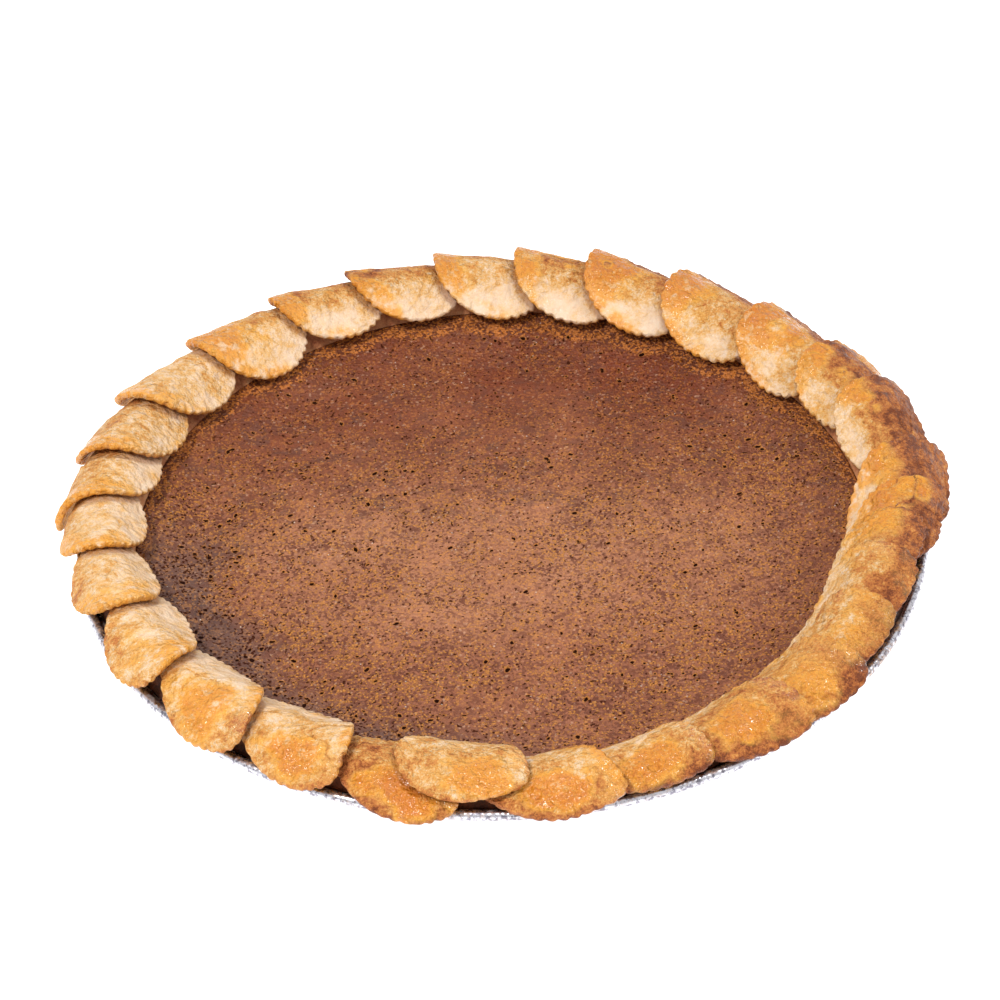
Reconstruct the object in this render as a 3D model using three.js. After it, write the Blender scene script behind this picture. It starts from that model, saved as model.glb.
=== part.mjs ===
// A pumpkin pie in its foil tin. The rim is dressed with fluted rounds of pastry, laid like shingles:
// each one rests on the one before it, and the last one covers the end of the first.
//
// Millimetres, +Z up. The origin is the centre of the tin's flat underside. Angles are degrees,
// anticlockwise seen from above, from +X.
import * as THREE from "three";

// ---- driving dimensions ------------------------------------------------------------------------

const RIM_RADIUS = 127; // outside of the tin's rolled rim
const RIM_HEIGHT = 32; // middle of the rolled rim above the table
const BEAD_RADIUS = 1.5; // the rolled rim's own section
const FOIL = 0.7; // the tin's wall, a little stiffer than real foil
const BASE_RADIUS = 96; // flat underside
const BASE_CORNER = 3; // rounding between underside and wall
const BEAD_SIDES = 5;
const SHOULDER_RADIUS = 117.5; // where the wall turns out into the flange
const FLANGE_DROP = 1; // flange below the middle of the rolled rim

const GAP = 0.3; // clearance between touching pieces
const CRUST = 4; // pastry under the filling
const CRUST_CORNER = 3; // rounding inside it, between its floor and wall
const CRUST_EDGE_RADIUS = 122.8; // outer edge of the pastry on the flange
const FILL_EDGE_DEPTH = 4.5; // filling below the rolled rim, where it meets the crust
const FILL_MIDDLE_DEPTH = 9; // filling below the rolled rim, in the middle
const FILL_FLAT_RADIUS = 84; // the sunken middle; outside it the filling climbs to the crust
const FILL_CLIMB = 1.2; // above 1 the climb starts more gently
const FILL_CORNER = 4; // rounding at its foot
const FILL_SWELLS = 3; // low swells round the top
const FILL_SWELL_HEIGHT = 0.35;
const FILL_SWELL_TURN = 40;

const ROUND_RADIUS = 19; // the fluted cutter
const FLUTES = 36;
const FLUTE_DEPTH = 0.75;
const ROUND_THICKNESS = 2.3;
const ROUND_EDGE = 1.9; // thickness at the fluted edge
const HALF_WIDTH = 9.8; // degrees that a round reaches either side of its middle
const SLANT = 40; // a round is longest this way: 0 is its free edge, 90 its outermost point
const LAYER_PITCH = 2.9; // from one round to the next one on top of it
const LAYER_CLEARANCE = 0.8; // lowest round above the crust's rim
const CREST_BEND = 11; // bend radius of a round over the rim, at the middle of its thickness
const STACK_MIDDLE = 4.2; // height above the crust's rim that CREST_BEND is measured at
const CURL_LIMIT = 1.2; // a curl stops growing this far along, where 1 is the free edge
const TAIL_SPREAD = 22; // degrees over which a dragged corner dies away

const SEGMENTS = 48; // steps round the tin, the crust and the filling

// How the pastry rim wanders round the tin: where its crest is, how high it stands over the rolled
// rim, and how steeply the rounds fall away from it to the filling and over the outside.
const CREST = [
  { at: 0, radius: 119.5, height: 8, inward: 38, outward: 46 },
  { at: 20, radius: 119.8, height: 9.4, inward: 38, outward: 44 },
  { at: 36, radius: 117.9, height: 8.6, inward: 38, outward: 41 },
  { at: 60, radius: 116.5, height: 8.8, inward: 37, outward: 37 },
  { at: 100, radius: 117.5, height: 8.8, inward: 36, outward: 37 },
  { at: 150, radius: 120, height: 8, inward: 38, outward: 60 },
  { at: 180, radius: 119.5, height: 7.5, inward: 40, outward: 84 },
  { at: 205, radius: 117.5, height: 9, inward: 38, outward: 38 },
  { at: 235, radius: 115.5, height: 9.5, inward: 38, outward: 30 },
  { at: 265, radius: 117.5, height: 7.8, inward: 42, outward: 22 },
  { at: 285, radius: 118, height: 7.5, inward: 42, outward: 24 },
  { at: 310, radius: 118, height: 7.5, inward: 42, outward: 26 },
  { at: 340, radius: 117, height: 9, inward: 44, outward: 36 },
];

// The rounds in the order they were laid, clockwise from the front. trailing: the angle that the free
// edge reaches. shift: how far the round is pushed outward over the rim. depth: its size across the
// rim, against the cutter's. stretch: how much longer it was pulled on the slant. curl: how far the
// free edge stands up. skew: how far its outer side was pushed on past its inner side, against the
// distance between them. tail: how far one corner was dragged out of round. corner: where it is, if
// not on the slant.
const ROUNDS = [
  { trailing: 264, shift: 0.5, depth: 0.86, stretch: 1.15, curl: 0, skew: 0.2, tail: 1 },
  { trailing: 248.5, shift: -2, depth: 0.95, stretch: 1.1, curl: 1.5, skew: 0.3, tail: 1.5 },
  { trailing: 233.5, shift: -2, depth: 0.95, stretch: 1.2, curl: 1, skew: 0.35, tail: 1.5 },
  { trailing: 218, shift: -3, depth: 0.9, stretch: 1.15, curl: 1, skew: 0.3, tail: 1.5 },
  { trailing: 204.5, shift: -1, depth: 0.82, stretch: 1, curl: 0.5, skew: 0.15 },
  { trailing: 191, shift: 0, depth: 0.85, stretch: 1, curl: 0.5, skew: 0.1 },
  { trailing: 179, shift: 2, depth: 0.95, stretch: 1.1, curl: 1, tail: 6 },
  { trailing: 169.5, shift: 2, depth: 1, stretch: 1.1, curl: 1.5 },
  { trailing: 157, shift: 1, depth: 1, stretch: 1.1, curl: 1.5 },
  { trailing: 142, shift: 0, depth: 1.1, stretch: 1.05, curl: 1 },
  { trailing: 127, shift: 1, depth: 1, stretch: 1.05, curl: 1 },
  { trailing: 114, shift: 1, depth: 1, stretch: 1.1, curl: 1 },
  { trailing: 100, shift: 0, depth: 1.05, stretch: 1.1, curl: 1.5 },
  { trailing: 87, shift: 0, depth: 1.05, stretch: 1.1, curl: 2 },
  { trailing: 75, shift: 0, depth: 1.05, stretch: 1.1, curl: 3, tail: 1.5 },
  { trailing: 61, shift: -0.5, depth: 1.05, stretch: 1.1, curl: 2.5, tail: 1.5 },
  { trailing: 46, shift: -0.5, depth: 1, stretch: 1.1, curl: 2.5, tail: 1.5 },
  { trailing: 33, shift: 2.5, depth: 1.05, stretch: 1.05, curl: 2, tail: 3 },
  { trailing: 22, shift: 1, depth: 0.86, stretch: 1, curl: 1.5, skew: 0.1, tail: 4 },
  { trailing: 7, shift: -1, depth: 1.02, stretch: 1.1, curl: 2, skew: 0.2, tail: 5 },
  { trailing: -2, shift: -3, depth: 0.82, stretch: 1, curl: 1, skew: 0.3, tail: 5 },
  { trailing: -10, shift: -6.4, depth: 0.7, stretch: 1.2, curl: 0.5, tail: 2 },
  { trailing: -19, shift: -5.8, depth: 0.72, stretch: 1.2, curl: 1, tail: 2.5 },
  { trailing: -29.5, shift: -5.5, depth: 0.74, stretch: 1.25, curl: 1, tail: 2.5 },
  { trailing: -40, shift: -3.8, depth: 0.82, stretch: 1.3, curl: 1, tail: 3 },
  { trailing: -51, shift: -3, depth: 0.8, stretch: 1.3, curl: 1, skew: 0.1, tail: 3 },
  { trailing: -64.5, shift: -1.5, depth: 0.66, stretch: 1.15, curl: 1, skew: 0.15, tail: 3 },
  { trailing: -77.4, shift: 0, depth: 0.78, stretch: 1.2, curl: 1, skew: 0.1, tail: 4, corner: 25 },
  { trailing: -87, shift: -1, depth: 0.62, stretch: 0.88, curl: 0, skew: 0.35, tail: 3, corner: 30 },
];

const COLOUR = {
  tin: { color: 0xc9c9cc, roughness: 0.3, metalness: 1 },
  crust: { color: 0xa86a35, roughness: 0.75, metalness: 0 },
  filling: { color: 0x8a4e30, roughness: 0.6, metalness: 0 },
  round: { color: 0xdca05c, roughness: 0.6, metalness: 0 },
};

// ---- small helpers -----------------------------------------------------------------------------

const rad = THREE.MathUtils.degToRad;
const lerp = THREE.MathUtils.lerp;
const clamp = THREE.MathUtils.clamp;
const smooth = THREE.MathUtils.smoothstep;

function geometryOf(vertices, triangles) {
  return new THREE.BufferGeometry()
    .setAttribute("position", new THREE.Float32BufferAttribute(vertices.flat(), 3))
    .setIndex(triangles.flat());
}

function meshOf(name, geometry, look) {
  const mesh = new THREE.Mesh(geometry, new THREE.MeshStandardMaterial(look));
  mesh.name = name;
  return mesh;
}

// A solid of revolution whose section may change with the angle. sectionAt(angle) gives the same
// number of [radius, height] points at every angle, from the axis below to the axis above.
function turned(sectionAt) {
  const first = sectionAt(0);
  const last = first.length - 1;
  const vertices = [[0, 0, first[0][1]], [0, 0, first[last][1]]];
  for (let s = 0; s < SEGMENTS; s++) {
    const angle = (360 * s) / SEGMENTS;
    for (const [radius, height] of sectionAt(angle).slice(1, last)) {
      vertices.push([radius * Math.cos(rad(angle)), radius * Math.sin(rad(angle)), height]);
    }
  }
  const at = (s, i) => 2 + (s % SEGMENTS) * (last - 1) + i;
  const triangles = [];
  for (let s = 0; s < SEGMENTS; s++) {
    triangles.push([0, at(s + 1, 0), at(s, 0)]);
    for (let i = 0; i < last - 2; i++) {
      triangles.push([at(s, i), at(s + 1, i), at(s + 1, i + 1)]);
      triangles.push([at(s, i), at(s + 1, i + 1), at(s, i + 1)]);
    }
    triangles.push([1, at(s, last - 2), at(s + 1, last - 2)]);
  }
  return geometryOf(vertices, triangles);
}

// ---- the pastry rim's shape --------------------------------------------------------------------

// One of CREST's values at any angle, eased from station to station.
function crest(key, angle) {
  const turn = ((angle % 360) + 360) % 360;
  const next = CREST.findIndex((station) => station.at > turn);
  const b = next < 0 ? CREST[0] : CREST[next];
  const a = next < 0 ? CREST[CREST.length - 1] : CREST[(next || CREST.length) - 1];
  const span = (b.at - a.at + 360) % 360;
  const share = ((turn - a.at + 360) % 360) / span;
  return lerp(a[key], b[key], smooth(share, 0, 1));
}

// The rim's section at an angle is an arc over the crest with a straight leg down each side. along is
// the distance from the crest, outward positive; lift is the height above the crust's rim.
function rimPoint(angle, along, lift) {
  const limit = along < 0 ? -rad(crest("inward", angle)) : rad(crest("outward", angle));
  const lean = along < 0 ? Math.max(along / CREST_BEND, limit) : Math.min(along / CREST_BEND, limit);
  const leg = along - lean * CREST_BEND;
  const bend = CREST_BEND + lift - STACK_MIDDLE;
  const radius = crest("radius", angle) + bend * Math.sin(lean) + leg * Math.cos(lean);
  const centre = RIM_HEIGHT + crest("height", angle) - CREST_BEND;
  return [radius, centre + bend * Math.cos(lean) - leg * Math.sin(lean)];
}

// ---- tin, crust and filling --------------------------------------------------------------------

function tinSection() {
  const flange = RIM_HEIGHT - FLANGE_DROP;
  const beadAt = RIM_RADIUS - BEAD_RADIUS;
  const bead = [];
  for (let side = 0; side < BEAD_SIDES - 1; side++) {
    const turn = rad((360 * side) / BEAD_SIDES - 90);
    bead.push([beadAt + BEAD_RADIUS * Math.cos(turn), RIM_HEIGHT + BEAD_RADIUS * Math.sin(turn)]);
  }
  return [
    [0, 0],
    [BASE_RADIUS - BASE_CORNER, 0],
    [BASE_RADIUS, BASE_CORNER],
    [SHOULDER_RADIUS, flange - FOIL],
    ...bead,
    [beadAt - BEAD_RADIUS, flange],
    [wallRadius(flange, 0), flange],
    [wallRadius(BASE_CORNER + FOIL, 0), BASE_CORNER + FOIL],
    [wallRadius(FOIL, BASE_CORNER), FOIL],
    [0, FOIL],
  ];
}

const crustFloor = FOIL + GAP;
const crustFoot = crustFloor + BASE_CORNER;
const crustTop = crustFloor + CRUST;
const flangeTop = RIM_HEIGHT - FLANGE_DROP + GAP;
const wallLean = (SHOULDER_RADIUS - BASE_RADIUS) / (RIM_HEIGHT - FLANGE_DROP - BASE_CORNER);

// Radius of the inside of the tin's wall at a height, less a distance kept from it.
const wallRadius = (height, away) => BASE_RADIUS + wallLean * (height - BASE_CORNER) - FOIL - away;

const fillEdge = RIM_HEIGHT - FILL_EDGE_DEPTH;

// The crust's rim rises from the flange over the crest and falls to the filling. Its outer side
// drops straight to the flange, inside the rolled rim.
function crustSection(angle) {
  const bend = CREST_BEND - STACK_MIDDLE;
  const reach = Math.min(1, (CRUST_EDGE_RADIUS - crest("radius", angle)) / bend);
  const outward = Math.min(Math.asin(reach), rad(crest("outward", angle)));
  const leans = [outward, outward / 2, 0, -rad(crest("inward", angle))];
  return [
    [0, crustFloor],
    [wallRadius(crustFloor, BASE_CORNER + GAP), crustFloor],
    [wallRadius(crustFoot, GAP), crustFoot],
    [wallRadius(flangeTop, GAP), flangeTop],
    [CRUST_EDGE_RADIUS, flangeTop],
    ...leans.map((lean) => rimPoint(angle, lean * CREST_BEND, 0)),
    [wallRadius(fillEdge, CRUST), fillEdge],
    [wallRadius(crustTop + CRUST_CORNER, CRUST), crustTop + CRUST_CORNER],
    [wallRadius(crustTop, CRUST + CRUST_CORNER), crustTop],
    [0, crustTop],
  ];
}

// The filling climbs from its sunken middle to the crust, and is a little uneven.
function fillHeight(radius, angle) {
  const edge = wallRadius(fillEdge, CRUST);
  const climb = smooth(radius, FILL_FLAT_RADIUS, edge) ** FILL_CLIMB;
  const swell = Math.sin(rad(FILL_SWELLS * angle + FILL_SWELL_TURN)) * Math.sin((Math.PI * radius) / edge);
  return RIM_HEIGHT - lerp(FILL_MIDDLE_DEPTH, FILL_EDGE_DEPTH, climb) + FILL_SWELL_HEIGHT * swell;
}

function fillingSection(angle) {
  const floor = crustTop + GAP;
  const side = CRUST + GAP;
  const edge = wallRadius(fillEdge, side);
  const top = [1, 0.92, 0.84, 0.73, 0.45].map((share) => [edge * share, fillHeight(edge * share, angle)]);
  return [
    [0, floor],
    [wallRadius(floor, side + FILL_CORNER), floor],
    [wallRadius(floor + FILL_CORNER, side), floor + FILL_CORNER],
    ...top,
    [0, fillHeight(0, 0)],
  ];
}

// ---- the rounds --------------------------------------------------------------------------------

const middleOf = (index) => {
  const turns = Math.floor(index / ROUNDS.length);
  return ROUNDS[index - turns * ROUNDS.length].trailing - HALF_WIDTH - 360 * turns;
};

// Counts the rounds from the first one's middle (0) to an angle: whole numbers at the middles.
function roundsTo(angle) {
  let index = 0;
  while (middleOf(index + 1) > angle) index++;
  while (middleOf(index) < angle) index--;
  return index + (middleOf(index) - angle) / (middleOf(index) - middleOf(index + 1));
}

// Height of a round's underside above the crust's rim. Neighbours lie LAYER_PITCH apart at every
// angle. The first round stays down so that the last one, lying flat, can cover its end.
function underside(index, angle) {
  const bed = LAYER_CLEARANCE + LAYER_PITCH * (roundsTo(angle) - roundsTo(angle + HALF_WIDTH));
  const last = ROUNDS.length - 1;
  let layers = index - roundsTo(angle);
  if (index === 0) layers = Math.min(layers, 0);
  if (index === last) layers = 1;
  const covered = index === last ? middleOf(last) : middleOf(index + 1) + HALF_WIDTH;
  const free = clamp((angle - covered) / (middleOf(index) + HALF_WIDTH - covered), 0, CURL_LIMIT);
  return bed + LAYER_PITCH * layers + ROUNDS[index].curl * free * free;
}

// Degrees from one direction to another, at most half a turn.
const turnBetween = (from, to) => ((((to - from) % 360) + 540) % 360) - 180;

// A point of a round: reach is the share of its radius, towards is 0 at the free edge and 90 at the
// outermost point.
function roundPoint(index, reach, towards, above) {
  const { shift, depth, stretch, skew = 0, tail = 0, corner = SLANT } = ROUNDS[index];
  const flute = reach === 1 ? FLUTE_DEPTH * 0.5 * (Math.cos(rad(FLUTES * towards)) - 1) : 0;
  const pull = tail * Math.exp(-((turnBetween(towards, corner) / TAIL_SPREAD) ** 2));
  const radius = (ROUND_RADIUS + pull) * reach + flute;
  const slant = rad(towards - SLANT);
  const long = radius * Math.cos(slant) * stretch;
  const short = (radius * Math.sin(slant)) / Math.sqrt(stretch);
  const turn = rad(SLANT);
  const across = depth * (long * Math.sin(turn) + short * Math.cos(turn));
  const back = long * Math.cos(turn) - short * Math.sin(turn) + skew * across;
  const along = shift + across;
  const middle = middleOf(index);
  const [near] = rimPoint(middle, along, STACK_MIDDLE);
  const angle = middle + THREE.MathUtils.radToDeg(back / near);
  const [out, up] = rimPoint(angle, along, underside(index, angle) + above);
  return [out * Math.cos(rad(angle)), out * Math.sin(rad(angle)), up];
}

const RINGS = [
  { reach: 1, count: 2 * FLUTES, thickness: ROUND_EDGE },
  { reach: 0.72, count: 16, thickness: ROUND_THICKNESS },
  { reach: 0.36, count: 8, thickness: ROUND_THICKNESS },
];

// Triangles between a ring of outer points and a ring of inner ones, in step by their angles. The
// inner ring may be a single point.
function zip(outer, inner) {
  const triangles = [];
  let i = 0;
  let j = 0;
  while (i < outer.count || j < inner.count) {
    const a = outer.start + (i % outer.count);
    const b = inner.start + (j % inner.count);
    if (j === inner.count || (i < outer.count && (i + 0.5) / outer.count <= (j + 0.5) / inner.count)) {
      triangles.push([a, outer.start + ((i + 1) % outer.count), b]);
      i++;
    } else {
      if (inner.count > 1) triangles.push([a, inner.start + ((j + 1) % inner.count), b]);
      j++;
    }
  }
  return triangles;
}

// Both faces of a round are split into triangles alike: rings of points round a middle one.
function roundGeometry(index) {
  const vertices = [];
  const faces = [0, 1].map((upper) => {
    const rings = RINGS.map(({ reach, count, thickness }) => {
      const start = vertices.length;
      for (let i = 0; i < count; i++) {
        vertices.push(roundPoint(index, reach, (360 * i) / count, upper * thickness));
      }
      return { start, count };
    });
    rings.push({ start: vertices.length, count: 1 });
    vertices.push(roundPoint(index, 0, 0, upper * ROUND_THICKNESS));
    return rings;
  });
  const triangles = [];
  faces.forEach((rings, upper) => {
    for (let r = 0; r + 1 < rings.length; r++) {
      for (const [a, b, c] of zip(rings[r], rings[r + 1])) {
        triangles.push(upper ? [c, b, a] : [a, b, c]);
      }
    }
  });
  const [low, high] = faces.map((rings) => rings[0].start);
  const count = RINGS[0].count;
  for (let i = 0; i < count; i++) {
    const next = (i + 1) % count;
    triangles.push([low + i, high + next, low + next], [low + i, high + i, high + next]);
  }
  return geometryOf(vertices, triangles);
}

// ---- the pie -----------------------------------------------------------------------------------

const pie = new THREE.Group();
pie.add(meshOf("tin", turned(tinSection), COLOUR.tin));
pie.add(meshOf("crust", turned(crustSection), COLOUR.crust));
pie.add(meshOf("filling", turned(fillingSection), COLOUR.filling));
ROUNDS.forEach((round, index) => {
  const name = "round_" + String(index + 1).padStart(2, "0");
  pie.add(meshOf(name, roundGeometry(index), COLOUR.round));
});

export default pie;
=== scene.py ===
"""A pumpkin pie in its foil tin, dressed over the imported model.

The rim is laid with fluted rounds of pastry like shingles. Shapes are worked out in millimetres, from
the same named sizes as the part, and turned into metres when a mesh is made. The origin is the middle
of the tin's underside, +Z up. Angles are degrees, anticlockwise seen from above, from +X.
"""

import math

import bpy
import numpy as np
from mathutils import Matrix, Vector


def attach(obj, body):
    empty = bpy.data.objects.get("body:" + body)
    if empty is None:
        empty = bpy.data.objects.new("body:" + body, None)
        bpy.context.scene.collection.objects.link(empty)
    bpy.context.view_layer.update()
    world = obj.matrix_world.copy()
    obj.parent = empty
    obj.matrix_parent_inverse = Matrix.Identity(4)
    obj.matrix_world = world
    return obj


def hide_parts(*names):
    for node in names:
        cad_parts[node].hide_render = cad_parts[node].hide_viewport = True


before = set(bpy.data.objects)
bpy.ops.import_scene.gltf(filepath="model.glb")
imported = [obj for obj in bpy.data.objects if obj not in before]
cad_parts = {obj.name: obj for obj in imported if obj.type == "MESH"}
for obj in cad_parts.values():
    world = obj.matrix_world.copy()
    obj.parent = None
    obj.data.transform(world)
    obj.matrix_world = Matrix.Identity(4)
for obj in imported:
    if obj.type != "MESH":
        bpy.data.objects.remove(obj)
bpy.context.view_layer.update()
bpy.context.scene.view_settings.view_transform = "Standard"

# ---- sizes shared with the solids --------------------------------------------------------------

RIM_RADIUS = 127.0
RIM_HEIGHT = 32.0
BEAD_RADIUS = 1.5
FOIL = 0.7
BASE_RADIUS = 96.0
BASE_CORNER = 3.0
SHOULDER_RADIUS = 117.5
FLANGE_DROP = 1.0

GAP = 0.3
CRUST = 4.0
CRUST_CORNER = 3.0
CRUST_EDGE_RADIUS = 122.8
FILL_EDGE_DEPTH = 4.5
FILL_MIDDLE_DEPTH = 9.0
FILL_FLAT_RADIUS = 84.0
FILL_CLIMB = 1.2
FILL_CORNER = 4.0
FILL_SWELLS = 3
FILL_SWELL_HEIGHT = 0.35
FILL_SWELL_TURN = 40.0

ROUND_RADIUS = 19.0
FLUTES = 36
ROUND_THICKNESS = 2.3
HALF_WIDTH = 9.8
SLANT = 40.0
LAYER_PITCH = 2.9
LAYER_CLEARANCE = 0.8
CREST_BEND = 11.0
STACK_MIDDLE = 4.2
CURL_LIMIT = 1.2
TAIL_SPREAD = 22.0

# The pastry rim: angle, crest radius, height over the rolled rim, slope inward, slope outward.
STATIONS = np.array([
    (0, 119.5, 8, 38, 46),
    (20, 119.8, 9.4, 38, 44),
    (36, 117.9, 8.6, 38, 41),
    (60, 116.5, 8.8, 37, 37),
    (100, 117.5, 8.8, 36, 37),
    (150, 120, 8, 38, 60),
    (180, 119.5, 7.5, 40, 84),
    (205, 117.5, 9, 38, 38),
    (235, 115.5, 9.5, 38, 30),
    (265, 117.5, 7.8, 42, 22),
    (285, 118, 7.5, 42, 24),
    (310, 118, 7.5, 42, 26),
    (340, 117, 9, 44, 36),
])

# How brown the pastry is baked, from 0 (raw) to 1 (burnt).
PALE = 0.1
CREAM = 0.22
STRAW = 0.33
GOLDEN = 0.5
TOASTED = 0.65
BROWN = 0.85

# Each round: where its free edge lies, how far it is pushed outward, its depth across the rim, how far
# it is stretched and curled, how far its outer side was pushed on, its tail and the tail's corner; then
# how brown its inner tip, its body and its outer edge are, how golden the egg wash made it, how many
# blisters it has and how glossy it is.
ROUND_KEYS = ("trailing", "shift", "depth", "stretch", "curl", "skew", "tail", "corner",
              "tip", "body", "edge", "gold", "blisters", "wash")
ROUND_ROWS = [
    (264, 0.5, 0.86, 1.15, 0, 0.2, 1, SLANT, CREAM, TOASTED, TOASTED, 1, 3, 1),
    (248.5, -2, 0.95, 1.1, 1.5, 0.3, 1.5, SLANT, PALE, STRAW, GOLDEN, 0.8, 3, 0.9),
    (233.5, -2, 0.95, 1.2, 1, 0.35, 1.5, SLANT, PALE, STRAW, GOLDEN, 0.65, 2, 0.7),
    (218, -3, 0.9, 1.15, 1, 0.3, 1.5, SLANT, PALE, STRAW, GOLDEN, 0.45, 2, 0.5),
    (204.5, -1, 0.82, 1, 0.5, 0.15, 0, SLANT, CREAM, STRAW, GOLDEN, 0.4, 2, 0.4),
    (191, 0, 0.85, 1, 0.5, 0.1, 0, SLANT, CREAM, STRAW, GOLDEN, 0.45, 3, 0.4),
    (179, 2, 0.95, 1.1, 1, 0, 6, SLANT, CREAM, GOLDEN, GOLDEN, 0.45, 3, 0.6),
    (169.5, 2, 1, 1.1, 1.5, 0, 0, SLANT, STRAW, GOLDEN, GOLDEN, 0.5, 4, 0.7),
    (157, 1, 1, 1.1, 1.5, 0, 0, SLANT, STRAW, STRAW, GOLDEN, 0.45, 3, 0.7),
    (142, 0, 1.1, 1.05, 1, 0, 0, SLANT, CREAM, GOLDEN, STRAW, 0.7, 3, 0.6),
    (127, 1, 1, 1.05, 1, 0, 0, SLANT, CREAM, TOASTED, GOLDEN, 0.7, 3, 0.6),
    (114, 1, 1, 1.1, 1, 0, 0, SLANT, CREAM, TOASTED, GOLDEN, 0.75, 3, 0.6),
    (100, 0, 1.05, 1.1, 1.5, 0, 0, SLANT, CREAM, GOLDEN, TOASTED, 0.7, 3, 0.6),
    (87, 0, 1.05, 1.1, 2, 0, 0, SLANT, CREAM, TOASTED, TOASTED, 0.75, 3, 0.7),
    (75, 0, 1.05, 1.1, 3, 0, 1.5, SLANT, CREAM, TOASTED, BROWN, 0.9, 4, 0.8),
    (61, -0.5, 1.05, 1.1, 2.5, 0, 1.5, SLANT, STRAW, GOLDEN, BROWN, 0.85, 4, 0.9),
    (46, -0.5, 1, 1.1, 2.5, 0, 1.5, SLANT, STRAW, GOLDEN, BROWN, 0.9, 5, 1),
    (33, 2.5, 1.05, 1.05, 2, 0, 3, SLANT, STRAW, BROWN, TOASTED, 0.8, 11, 0.9),
    (22, 1, 0.86, 1, 1.5, 0.1, 4, SLANT, STRAW, BROWN, BROWN, 0.8, 9, 0.9),
    (7, -1, 1.02, 1.1, 2, 0.2, 5, SLANT, PALE, BROWN, BROWN, 0.8, 9, 0.9),
    (-2, -3, 0.82, 1, 1, 0.3, 5, SLANT, PALE, TOASTED, BROWN, 0.85, 8, 0.9),
    (-10, -6.4, 0.7, 1.2, 0.5, 0, 2, SLANT, PALE, TOASTED, BROWN, 0.6, 7, 0.7),
    (-19, -5.8, 0.72, 1.2, 1, 0, 2.5, SLANT, PALE, GOLDEN, BROWN, 0.55, 8, 0.8),
    (-29.5, -5.5, 0.74, 1.25, 1, 0, 2.5, SLANT, PALE, GOLDEN, BROWN, 0.5, 12, 0.6),
    (-40, -3.8, 0.82, 1.3, 1, 0, 3, SLANT, PALE, TOASTED, BROWN, 0.5, 9, 0.7),
    (-51, -3, 0.8, 1.3, 1, 0.1, 3, SLANT, PALE, TOASTED, BROWN, 0.75, 8, 0.9),
    (-64.5, -1.5, 0.66, 1.15, 1, 0.15, 3, SLANT, PALE, GOLDEN, BROWN, 0.75, 6, 0.9),
    (-77.4, 0, 0.78, 1.2, 1, 0.1, 4, 25, CREAM, GOLDEN, TOASTED, 0.85, 5, 1),
    (-87, -1, 0.62, 0.88, 0, 0.35, 3, 30, STRAW, GOLDEN, GOLDEN, 0.65, 4, 0.9),
]
ROUNDS = [dict(zip(ROUND_KEYS, row)) for row in ROUND_ROWS]
LAST = len(ROUNDS) - 1

# ---- how finely the meshes are made ------------------------------------------------------------

AROUND_ROUND = 252
TOP_ROWS = 26
EDGE_ROWS = 7
UNDER_ROWS = 4
EDGE_START = 0.95  # share of a round's radius where its edge starts to turn over
CRUST_COLUMNS = 480
FILL_GRID = 301
TIN_COLUMNS = 2000
CRIMPS = 500  # fine marks that the rolling tool left across the bead
PLEATS = 110  # folds up the tin's wall

# ---- small helpers -----------------------------------------------------------------------------


def eased(value, low, high):
    """0 below low, 1 above high and a smooth climb between."""
    t = np.clip((value - low) / (high - low), 0.0, 1.0)
    return t * t * (3 - 2 * t)


def lerp(a, b, share):
    return a + (b - a) * share


def lattice(x, y, z, seed):
    """A number from -1 to 1 for each whole-number place, always the same for the same seed."""
    h = x * 374761393 + y * 668265263 + z * 1442695041 + seed * 1274126177
    h = (h ^ (h >> 13)) * 1274126177
    h = h ^ (h >> 16)
    return (h & 0xFFFF) / 32767.5 - 1.0


def noise(points, size, seed):
    """A smooth random field, about -1 to 1, whose features are as large as size."""
    place = np.asarray(points, float) / size
    cell = np.floor(place).astype(np.int64)
    part = place - cell
    part = part * part * (3 - 2 * part)
    total = 0.0
    for corner in range(8):
        step = np.array([corner & 1, corner >> 1 & 1, corner >> 2 & 1])
        weight = np.prod(np.where(step, part, 1 - part), axis=-1)
        at = cell + step
        total = total + weight * lattice(at[..., 0], at[..., 1], at[..., 2], seed)
    return total


def crest(column, angle):
    """One of the rim's values at an angle, eased from station to station."""
    turn = np.mod(angle, 360.0)
    after = np.searchsorted(STATIONS[:, 0], turn, side="right")
    a = STATIONS[after - 1]
    b = STATIONS[after % len(STATIONS)]
    span = np.mod(b[..., 0] - a[..., 0], 360.0)
    share = eased(np.mod(turn - a[..., 0], 360.0) / span, 0.0, 1.0)
    return lerp(a[..., column], b[..., column], share)


def rim_point(angle, along, lift):
    """Radius and height of a place on the rim: along is the distance outward from its crest, lift the
    height above the crust's rim."""
    inward = -np.radians(crest(3, angle))
    outward = np.radians(crest(4, angle))
    lean = np.clip(along / CREST_BEND, inward, outward)
    leg = along - lean * CREST_BEND
    bend = CREST_BEND + lift - STACK_MIDDLE
    radius = crest(1, angle) + bend * np.sin(lean) + leg * np.cos(lean)
    centre = RIM_HEIGHT + crest(2, angle) - CREST_BEND
    return radius, centre + bend * np.cos(lean) - leg * np.sin(lean)


def turned(radius, angle, height):
    """Points from radii, angles and heights."""
    around = np.radians(angle)
    flat = np.broadcast_arrays(radius * np.cos(around), radius * np.sin(around), height)
    return np.stack(flat, -1)


def shell_faces(rows, columns):
    """Faces of a closed skin of rows of points, whose two ends each close on one last point."""
    r = np.arange(rows - 1)[:, None] * columns
    c = np.arange(columns)[None, :]
    d = (c + 1) % columns
    quads = np.stack([r + c, r + d, r + columns + d, r + columns + c], -1).reshape(-1, 4)
    first = rows * columns
    c, d = c.ravel(), d.ravel()
    low = np.stack([np.full(columns, first), d, c], -1)
    top = (rows - 1) * columns
    high = np.stack([np.full(columns, first + 1), top + c, top + d], -1)
    return [quads, np.concatenate([low, high])]


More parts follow.
